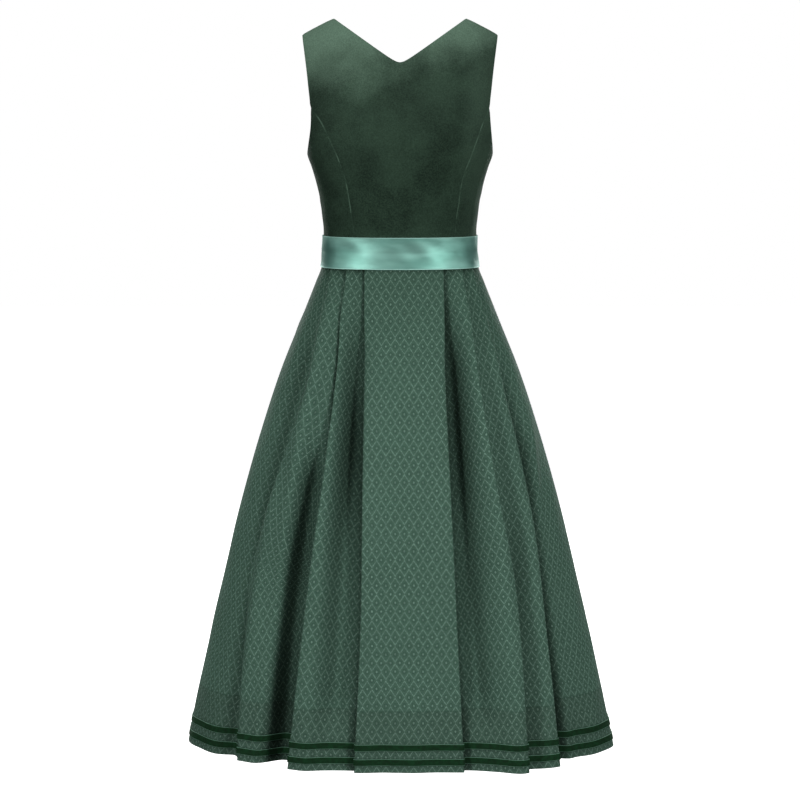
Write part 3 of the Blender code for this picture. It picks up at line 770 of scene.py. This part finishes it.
def panel(name, grid, face, sewn):
    """A velvet panel. sewn names the grid's edges with a seam, where the cloth rolls in."""
    normals = outward(grid)
    grid = grid + normals * ruck_lift(grid, face)[..., None]
    # nearness to a seam, for the highlight painted along it
    seam = np.zeros(grid.shape[:2])
    sewn_edges = [EDGES[edge] for edge in sewn]
    for axis, index in sewn_edges:
        inside = 1 if index == 0 else index - 1
        take, near = ((slice(None), i) if axis else (i, slice(None)) for i in (index, inside))
        grid[take] = grid[take] + unit(grid[near] - grid[take]) * SEAM_INSET
        distance = np.linalg.norm(grid - np.expand_dims(grid[take], axis), axis=2)
        roll = np.clip(1 - distance / SEAM_ROLL, 0, 1)
        seam = np.maximum(seam, np.clip(1 - distance / SEAM_HIGHLIGHT_WIDTH, 0, 1))
        grid = grid - normals * (roll**2 * SEAM_DIP)[..., None]
    for axis, index in sewn_edges:
        rim, rim_normals, light = (np.take(part, [index], axis) for part in (grid, normals, seam))
        pairs = [(rim - rim_normals * FLANGE, grid), (rim_normals, normals), (light, seam)]
        order = 1 if index == 0 else -1
        grid, normals, seam = (np.concatenate(pair[::order], axis=axis) for pair in pairs)
    outer, inner = grid + normals * VELVET_WALL / 2, grid - normals * VELVET_WALL / 2
    down, across = np.gradient(grid, axis=0), np.gradient(grid, axis=1)
    if np.sum(np.cross(down, across) * normals) < 0:
        outer, inner, grid, seam = (a[:, ::-1] for a in (outer, inner, grid, seam))
    return wall_mesh(name, outer, inner, plain_uv(grid), seam=seam)


def build_bodice(look):
    hands = ((1, "left"), (-1, "right"))
    for face, place, seam, armhole, tip_z in (
        (1, "back", BACK_SEAM, BACK_ARMHOLE, BACK_NECK_Z),
        (-1, "front", FRONT_SEAM, FRONT_ARMHOLE, FRONT_NECK_Z),
    ):
        for side, hand in hands:
            node = f"bodice_{place}_side_{hand}"
            made = panel(f"{node}_velvet", side_panel(side, face, seam), face, ("first", "last"))
            yield dressed(made, look, node)
        halves = [centre_panel(side, face, tip_z, seam, armhole) for side, _ in hands]
        if face > 0:
            parts = [panel("back_half", grid, face, ("last", "top")) for grid in halves]
            yield dressed(joined("bodice_back_velvet", parts), look, "bodice_back")
            continue
        for grid, (_, hand) in zip(halves, hands):
            node = f"bodice_front_{hand}"
            made = panel(f"{node}_velvet", grid, face, ("first", "last", "top"))
            yield dressed(made, look, node)


def joined(name, parts):
    """One object of several, their touching points merged, so that the centre line is smooth."""
    with bpy.context.temp_override(active_object=parts[0], selected_editable_objects=parts):
        bpy.ops.object.join()
    whole = parts[0]
    whole.name = whole.data.name = name
    bm = bmesh.new()
    bm.from_mesh(whole.data)
    central = [v for v in bm.verts if abs(v.co.x) < AT_CENTRE]
    bmesh.ops.remove_doubles(bm, verts=central, dist=WELD_REACH)
    inner = [f for f in bm.faces if all(abs(v.co.x) < AT_CENTRE for v in f.verts)]
    bmesh.ops.delete(bm, geom=inner, context="FACES")
    bm.to_mesh(whole.data)
    bm.free()
    return whole


# ---- waist ribbon ----
def waist_line(z, lift):
    """Round the waist from the centre front to the centre front, lifted off the middle of the wall."""
    if z >= WAIST_Z:
        half_width = column(TORSO, "half_width", z)
        depths = [column(TORSO, name, z) for name in ("front", "back")]
        quarters = [quarter_ring(half_width, depth, TORSO_ROUNDNESS) for depth in depths]
    else:
        quarters = [skirt_quarter(z)] * 2
    lines = []
    for ring, face in zip(quarters, (-1, 1)):
        along = np.linspace(0, ring.along[-1], WAIST_RIBBON_COLUMNS + 1)
        lines.append(located(ring, along, np.full(len(along), -lift)) * (1, face))
    left = np.concatenate([lines[0], lines[1][::-1][1:]])
    return np.concatenate([left, (left * (-1, 1))[::-1][1:]])


def build_waist_ribbon(look):
    half = WAIST_RIBBON_WIDTH / 2
    zs = np.linspace(WAIST_Z + half, WAIST_Z - half, WAIST_RIBBON_ROWS + 1)
    lift = VELVET_WALL / 2 + WAIST_RIBBON_LIFT + RIBBON_WALL / 2
    lines = np.array([waist_line(z, lift) for z in zs])
    grid = np.concatenate([lines, np.broadcast_to(zs[:, None, None], (*lines.shape[:2], 1))], axis=2)
    grid[:, 0, 0] += OPENING_GAP
    grid[:, -1, 0] -= OPENING_GAP
    turn = np.arctan2(grid[..., 0], grid[..., 1])
    height = (grid[..., 2] - WAIST_Z) / half
    swell = sum(w.height * np.sin(turn * w.turns + height * w.lean + w.start) for w in WAIST_RIBBON_WAVES)
    normals = outward(grid)
    grid = grid + normals * (swell * (1 - height**2) + WAIST_RIBBON_EASE)[..., None]
    outer, inner = grid + normals * RIBBON_WALL / 2, grid - normals * RIBBON_WALL / 2
    made = wall_mesh("waist_ribbon_satin", outer[:, ::-1], inner[:, ::-1], plain_uv(grid[:, ::-1]))
    return dressed(made, look, "waist_ribbon"), float(measured(grid[0])[-1])


# ---- materials ----
class Shader:
    """Short ways to add nodes to a material."""

    def __init__(self, name):
        self.material = bpy.data.materials.new(name)
        self.material.use_nodes = True
        self.nodes, self.links = self.material.node_tree.nodes, self.material.node_tree.links
        self.principled = self.nodes["Principled BSDF"]

    def feed(self, socket, value):
        if isinstance(value, bpy.types.NodeSocket):
            self.links.new(value, socket)
        else:
            socket.default_value = value

    def node(self, kind, inputs, **settings):
        """A new node. Its inputs are given by name or number."""
        made = self.nodes.new(kind)
        for name, value in settings.items():
            setattr(made, name, value)
        for key, value in inputs.items():
            self.feed(made.inputs[key], value)
        return made

    def math(self, operation, a, b=0.0, c=0.0):
        return self.node("ShaderNodeMath", {0: a, 1: b, 2: c}, operation=operation).outputs[0]

    def times(self, a, b):
        return self.math("MULTIPLY", a, b)

    def scaled(self, value, by, start):
        """value times by, plus start."""
        return self.math("MULTIPLY_ADD", value, by, start)

    def apart(self, a, b):
        return self.math("ABSOLUTE", self.math("SUBTRACT", a, b))

    def wave(self, value, pitch):
        return self.math("SINE", self.times(value, math.tau / pitch))

    def mix(self, share, a, b, blend="MIX"):
        a, b = (c if isinstance(c, bpy.types.NodeSocket) else (*c, 1) for c in (a, b))
        inputs = {0: share, 6: a, 7: b}
        return self.node("ShaderNodeMix", inputs, data_type="RGBA", blend_type=blend).outputs[2]

    def tinted(self, share, colour, tint):
        """A share of colour times tint, over colour."""
        return self.mix(share, colour, self.mix(1.0, colour, tint, "MULTIPLY"))

    def noise(self, vector, scale, detail=2.0, rough=0.5):
        inputs = {"Vector": vector, "Scale": scale, "Detail": detail, "Roughness": rough}
        return self.node("ShaderNodeTexNoise", inputs).outputs["Fac"]

    def ramp(self, value, low, high):
        """0 at low and 1 at high, smooth between them."""
        inputs = {"Value": value, "From Min": low, "From Max": high}
        return self.node("ShaderNodeMapRange", inputs, interpolation_type="SMOOTHSTEP").outputs["Result"]

    def split(self, vector):
        return tuple(self.node("ShaderNodeSeparateXYZ", {0: vector}).outputs)

    def cloth(self):
        """u and v on the flat cloth, in metres."""
        return self.split(self.node("ShaderNodeUVMap", {}, uv_map="cloth").outputs[0])[:2]

    def place(self):
        return self.node("ShaderNodeTexCoord", {}).outputs["Object"]

    def fold_shade(self, reach, low, high):
        """A mask for painting shade into the folds, from ambient occlusion: 0 deep in the folds and 1 out
        on the open cloth.
        """
        made = self.node("ShaderNodeAmbientOcclusion", {"Distance": reach}, samples=6)
        return self.ramp(made.outputs["AO"], low, high)

    def bump(self, height, distance, strength):
        inputs = {"Height": height, "Distance": distance, "Strength": strength}
        self.set(Normal=self.node("ShaderNodeBump", inputs).outputs[0])

    def set(self, **values):
        for name, value in values.items():
            self.feed(self.principled.inputs[name.replace("_", " ")], value)


VELVET_CRUSH, VELVET_DRIFT, VELVET_GRAIN, VELVET_PILE = 13, 11, 420, 1500  # noise scales
PILE_LEAN = 0.22  # the painted light on the pile reaches lower by this for each metre to the left
SHOULDER_LIGHT = (-0.070, 0.065)  # heights over which the highlight painted on the shoulders comes in
# heights over which a faint highlight is painted onto the upper back
UPPER_HIGHLIGHT = (-0.240, 0.0)
FLANK_LIGHT = (-0.080, -0.125)  # distances from the centre plane over which a highlight is painted onto the right flank


def velvet(ground, lit, painted_highlight, seam_highlight):
    """A short pile, with highlights painted into its colour over the shoulders, on the upper back and the
    right flank, and along the seams.
    """
    s = Shader("bodice_velvet")
    place = s.place()
    x, _, z = s.split(place)
    broad = s.ramp(s.noise(place, VELVET_CRUSH, 4, 0.6), 0.36, 0.64)
    grain = s.ramp(s.noise(place, VELVET_GRAIN, 3, 0.7), 0.32, 0.70)
    crushed = s.scaled(grain, 0.55, s.times(broad, 0.45))
    colour = s.mix(crushed, ground, lit)
    # painted highlights where the light falls: over the shoulders, on the upper back and on the right
    # flank
    leaning = s.scaled(x, PILE_LEAN, s.scaled(s.noise(place, VELVET_DRIFT, 4, 0.6), 0.12, z))
    shoulder = s.times(s.ramp(leaning, *SHOULDER_LIGHT), s.scaled(grain, 0.3, 0.7))
    upper_highlight = s.times(s.ramp(leaning, *UPPER_HIGHLIGHT), 0.07)
    flank_highlight = s.times(s.ramp(x, *FLANK_LIGHT), 0.14)
    colour = s.mix(s.math("MAXIMUM", shoulder, s.math("MAXIMUM", upper_highlight, flank_highlight)), colour, painted_highlight)
    # a painted highlight along each seam, broken up by noise
    seam = s.node("ShaderNodeAttribute", {}, attribute_name="seam").outputs["Fac"]
    patchy = s.scaled(s.ramp(s.noise(place, 40, 3), 0.42, 0.64), 0.34, 0.03)
    colour = s.mix(s.times(s.ramp(seam, 0.72, 0.97), patchy), colour, seam_highlight)
    s.set(Base_Color=colour, Roughness=s.scaled(grain, -0.08, 0.95))
    s.set(Sheen_Weight=0.10, Sheen_Roughness=0.4, Sheen_Tint=(0.36, 0.62, 0.46, 1), Specular_IOR_Level=0.2)
    s.bump(s.scaled(crushed, 1.6, s.noise(place, VELVET_PILE, 2, 0.6)), 0.0005, 0.5)
    return s.material


def selvedge(s, v, width, start, full):
    """1 along both edges of a ribbon. start and full are distances from its edge."""
    return s.ramp(s.apart(v, width / 2), width / 2 - start, width / 2 - full)


SATIN_RIB_PITCH = 0.0009
SATIN_STREAKS = (10, 10, 34)  # scales of the noise that paints the highlights as streaks, drawn out round the waist


def satin(ground, shade, edge):
    """Broad soft highlights, from the lamps and painted into the colour as streaks, fine ribs and a thin
    woven edge.
    """
    s = Shader("waist_satin")
    v = s.cloth()[1]
    streaks = s.node("ShaderNodeMapping", {"Vector": s.place(), "Scale": SATIN_STREAKS})
    soft = s.noise(streaks.outputs[0], 1.0, 3)
    border = selvedge(s, v, WAIST_RIBBON_WIDTH, 0.0015, 0.0009)
    # painted highlights: streaks of the lighter ground over the darker shade; the same noise also varies
    # the roughness
    colour = s.mix(s.ramp(soft, 0.34, 0.68), shade, ground)
    colour = s.mix(s.times(border, 0.8), colour, edge)
    s.set(Base_Color=colour, Roughness=s.scaled(border, 0.15, s.scaled(soft, 0.10, 0.40)))
    s.set(Metallic=0.65, Anisotropic=0.35, Specular_IOR_Level=0.35)
    s.bump(s.scaled(s.wave(v, SATIN_RIB_PITCH), 0.12, s.scaled(soft, 0.8, border)), 0.0003, 0.4)
    return s.material


DIAMOND_WIDTH = 0.0144
ROW_PITCH = 0.0133  # from one zigzag line to the next
ZIGZAG = 0.80  # a zigzag's height, as a share of its row
WARP_STEP = 0.0006  # threads that float together, which give the figure its steps
WEFT_STEP = 0.0008
LINE_EDGE = (0.098, 0.052)  # of a row, from a line's middle: where it ends and where it is full
DOT_EDGE = (0.00185, 0.00090)  # the same in metres, from a diamond's middle
HEART_EDGE = (0.0044, 0.0016)


def diamonds(s, u, v):
    """Rows of zigzag lines, every other one shifted by half a step, so that they enclose diamonds. Gives
    the lines with a dot in each diamond, and the heart round each dot."""
    rows = s.math("DIVIDE", s.math("SNAP", v, WEFT_STEP), ROW_PITCH)
    low = s.math("FRACT", rows)
    shift = s.math("FRACT", s.times(s.math("FLOOR", rows), 0.5))
    across = s.math("ADD", s.math("DIVIDE", s.math("SNAP", u, WARP_STEP), DIAMOND_WIDTH), shift)
    zigzag = s.math("ABSOLUTE", s.scaled(s.math("FRACT", across), 2.0, -1.0))
    path = s.scaled(zigzag, ZIGZAG, (1 - ZIGZAG) / 2)
    swing = s.times(s.math("GREATER_THAN", low, 0.5), s.scaled(zigzag, 2.0, -1.0))
    aside = s.times(s.math("ADD", s.math("SUBTRACT", 1.0, zigzag), swing), DIAMOND_WIDTH / 2)
    above = s.times(s.math("MINIMUM", low, s.math("SUBTRACT", 1.0, low)), ROW_PITCH * 0.75)
    from_dot = s.math("SQRT", s.math("ADD", s.math("POWER", aside, 2.0), s.math("POWER", above, 2.0)))
    figure = s.math("MAXIMUM", s.ramp(s.apart(low, path), *LINE_EDGE), s.ramp(from_dot, *DOT_EDGE))
    return figure, s.ramp(from_dot, *HEART_EDGE)


TURN_UP_Z = HEM_Z + 0.094  # the top of the turned-up hem, which is stitched
TURN_UP_BLUR = 0.003
WAIST_SHADE_HEIGHTS = (-0.660, -0.380)  # over them shade is painted onto the cloth, darker towards the waist
# reach of the ambient occlusion that paints shade into the folds
FOLD_SHADE_REACH = 0.10
WARP_DENSITY, WEFT_DENSITY = 2600, 900  # of the uneven threads


def jacquard(ground, dark, light):
    """The figured cloth, with shade painted in near the waist and deep in the folds, and darker on the
    doubled hem.
    """
    s = Shader("skirt_jacquard")
    u, v = s.cloth()
    place = s.place()
    height = s.split(place)[2]
    figure, heart = diamonds(s, u, v)
    threads = s.node("ShaderNodeCombineXYZ", {0: s.times(u, WARP_DENSITY), 1: s.times(v, WEFT_DENSITY)})
    slub = s.noise(threads.outputs[0], 1.0, 2, 0.6)
    colour = s.mix(s.ramp(s.noise(place, 9, 3), 0.3, 0.7), ground, tuple(c * 1.12 for c in ground))
    colour = s.mix(s.times(heart, 0.62), colour, dark)
    worn = s.ramp(s.noise(place, 230, 3, 0.7), 0.30, 0.66)
    colour = s.mix(s.times(figure, s.scaled(worn, 0.72, 0.40)), colour, light)
    specks = s.ramp(s.noise(place, 480, 3, 0.7), 0.36, 0.64)
    colour = s.mix(s.times(specks, 0.55), colour, dark)
    colour = s.mix(s.times(s.ramp(slub, 0.35, 0.75), 0.16), colour, light)
    # painted shade, darker towards the waist
    colour = s.tinted(s.times(s.ramp(height, *WAIST_SHADE_HEIGHTS), 0.55), colour, (0.56, 0.60, 0.57))
    stitches = s.ramp(s.apart(height, TURN_UP_Z), 0.0016, 0.0004)
    colour = s.mix(s.times(stitches, 0.35), colour, dark)
    doubled = s.ramp(height, TURN_UP_Z + TURN_UP_BLUR, TURN_UP_Z - TURN_UP_BLUR)
    colour = s.tinted(s.times(doubled, 0.34), colour, (0.66, 0.58, 0.58))
    # painted shade deep in the folds
    shaded = s.mix(1.0, colour, (0.15, 0.18, 0.16), "MULTIPLY")
    colour = s.mix(s.fold_shade(FOLD_SHADE_REACH, 0.36, 1.0), shaded, colour)
    s.set(Base_Color=colour, Roughness=s.scaled(figure, -0.14, 0.85), Specular_IOR_Level=0.12)
    s.bump(s.scaled(figure, 1.0, s.scaled(s.wave(v, WEFT_STEP), 0.25, slub)), 0.0003, 0.5)
    return s.material


HEM_RIB_PITCH = 0.0011


def velvet_ribbon(pile, lit, edge):
    """A dark pile between two thin ribbed edges."""
    s = Shader("hem_velvet")
    u, v = s.cloth()
    place = s.place()
    border = selvedge(s, v, HEM_RIBBON_WIDTH, 0.0007, 0.0003)
    colour = s.mix(s.ramp(s.noise(place, 160, 3, 0.6), 0.35, 0.7), pile, lit)
    ribbed = s.mix(s.scaled(s.wave(u, HEM_RIB_PITCH), 0.2, 0.5), tuple(c * 0.7 for c in edge), edge)
    s.set(Base_Color=s.mix(border, colour, ribbed), Roughness=s.scaled(border, -0.3, 0.9))
    s.set(Sheen_Weight=0.06, Sheen_Roughness=0.4, Sheen_Tint=(0.15, 0.7, 0.3, 1), Specular_IOR_Level=0.25)
    s.bump(s.math("ADD", s.times(border, -1.2), s.noise(place, 1800)), 0.0004, 0.6)
    return s.material


# ---- studio ----
CAMERA_DISTANCE = 4.5
CAMERA_HEIGHT = -0.136
AIM_HEIGHT = -0.608
LENS_MM, SENSOR_MM = 126.6, 36.0
VIEW_END = 60
FLOOR_Z = -1.46
FLOOR_HALF = 14.0
FLOOR_GLOW = (0.0, 1.7)  # distances from the dress over which the floor's glow comes in
WORLD_STRENGTH = 0.03
LAMP_SIZE = 0.8
LAMP_AIM_HEIGHT = -0.55


def aimed(obj, height):
    """obj, turned to the dress's middle line at a height."""
    obj.rotation_euler = (Vector((0, 0, height)) - obj.location).to_track_quat("-Z", "Y").to_euler()
    return obj


def add_camera():
    camera = bpy.data.objects.new("camera", bpy.data.cameras.new("camera"))
    camera.data.lens, camera.data.sensor_width = LENS_MM, SENSOR_MM
    camera.data.clip_end = VIEW_END
    camera.location = (0, CAMERA_DISTANCE, CAMERA_HEIGHT)
    bpy.context.collection.objects.link(aimed(camera, AIM_HEIGHT))
    bpy.context.scene.camera = camera


class Lamp(NamedTuple):
    name: str
    x: float
    y: float
    z: float
    watts: float


LAMPS = (
    Lamp("back_left", 2.9, 3.5, 0.35, 98),
    Lamp("back_right", -2.7, 3.6, 0.35, 104),
    Lamp("front_left", 2.0, -4.0, 0.35, 88),
    Lamp("front_right", -2.0, -4.0, 0.35, 88),
    Lamp("side_left", 4.4, 0.7, 0.3, 16),
    Lamp("side_right", -4.4, 0.7, 0.3, 20),
    Lamp("above", 0.0, 0.7, 2.4, 30),
)


def add_lamps():
    for lamp in LAMPS:
        light = bpy.data.lights.new(lamp.name, "AREA")
        light.shape, light.size, light.energy = "DISK", LAMP_SIZE, lamp.watts
        holder = bpy.data.objects.new(lamp.name, light)
        holder.location = (lamp.x, lamp.y, lamp.z)
        bpy.context.collection.objects.link(aimed(holder, LAMP_AIM_HEIGHT))


def add_floor():
    mesh = bpy.data.meshes.new("floor")
    corners = [(x * FLOOR_HALF, y * FLOOR_HALF, 0) for x, y in ((-1, -1), (1, -1), (1, 1), (-1, 1))]
    mesh.from_pydata(corners, [], [(0, 1, 2, 3)])
    floor = bpy.data.objects.new("floor", mesh)
    floor.location.z = FLOOR_Z
    floor.visible_diffuse = floor.visible_glossy = False  # its glow doesn't reach the dress
    bpy.context.collection.objects.link(floor)
    s = Shader("floor_paint")
    grain = s.noise(s.place(), 3)
    s.set(Base_Color=s.mix(grain, (0.90, 0.90, 0.90), (0.93, 0.93, 0.93)), Roughness=0.9)
    distance = s.node("ShaderNodeVectorMath", {0: s.place()}, operation="LENGTH").outputs["Value"]
    s.set(Emission_Color=(1, 1, 1, 1), Emission_Strength=s.ramp(distance, *FLOOR_GLOW))
    mesh.materials.append(s.material)


def add_world():
    """White behind the dress, and a faint white light all round it."""
    world = bpy.data.worlds.new("studio")
    world.use_nodes = True
    nodes, links = world.node_tree.nodes, world.node_tree.links
    nodes["Background"].inputs[0].default_value = (1, 1, 1, 1)
    seen = nodes.new("ShaderNodeLightPath").outputs["Is Camera Ray"]
    strength = nodes.new("ShaderNodeMapRange")
    strength.inputs["To Min"].default_value = WORLD_STRENGTH
    links.new(seen, strength.inputs["Value"])
    links.new(strength.outputs["Result"], nodes["Background"].inputs[1])
    bpy.context.scene.world = world
    bpy.context.scene.view_settings.view_transform = "Standard"


# ---- the dress ----
SLOPE_SHARE = 1.03  # a skirt width's least length, for each metre of its fall
GIRTH_SHARE, RISE_SHARE = 1.12, 1.08  # a flat velvet panel to the box of its worn form


def declare_skirt(skirt, grid):
    """Measures the cut, as wide as the hem with its pleats and narrowing to the pleated waist, and its
    length; it keeps neither.
    """
    rows = measured(grid[..., :2], 1)[:, -1]
    length = max((WAIST_Z - HEM_Z) * SLOPE_SHARE, float(measured(grid.mean(axis=1))[-1]))


def declare_panel(made):
    area = sum(face.area for face in made.data.polygons) / 2
    width, depth, length = made.dimensions
    width = max(width, depth, area / length) * GIRTH_SHARE


def main():
    add_camera()
    add_lamps()
    add_floor()
    add_world()
    velvet_look = velvet(
        ground=(0.004, 0.013, 0.007),
        lit=(0.026, 0.055, 0.034),
        painted_highlight=(0.118, 0.200, 0.143),
        seam_highlight=(0.16, 0.28, 0.20),
    )
    satin_look = satin(
        ground=(0.210, 0.430, 0.370),
        shade=(0.120, 0.285, 0.240),
        edge=(0.36, 0.62, 0.55),
    )
    skirt_look = jacquard(
        ground=(0.060, 0.122, 0.088),
        dark=(0.024, 0.058, 0.040),
        light=(0.195, 0.330, 0.262),
    )
    ribbon_look = velvet_ribbon(
        pile=(0.0008, 0.018, 0.004),
        lit=(0.002, 0.034, 0.009),
        edge=(0.12, 0.26, 0.18),
    )
    for made in build_bodice(velvet_look):
        declare_panel(made)
    ribbon, length = build_waist_ribbon(satin_look)
    for made, length in build_hem_ribbons(ribbon_look):
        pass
    for skirt, grid in build_skirt(skirt_look):
        declare_skirt(skirt, grid)


main()
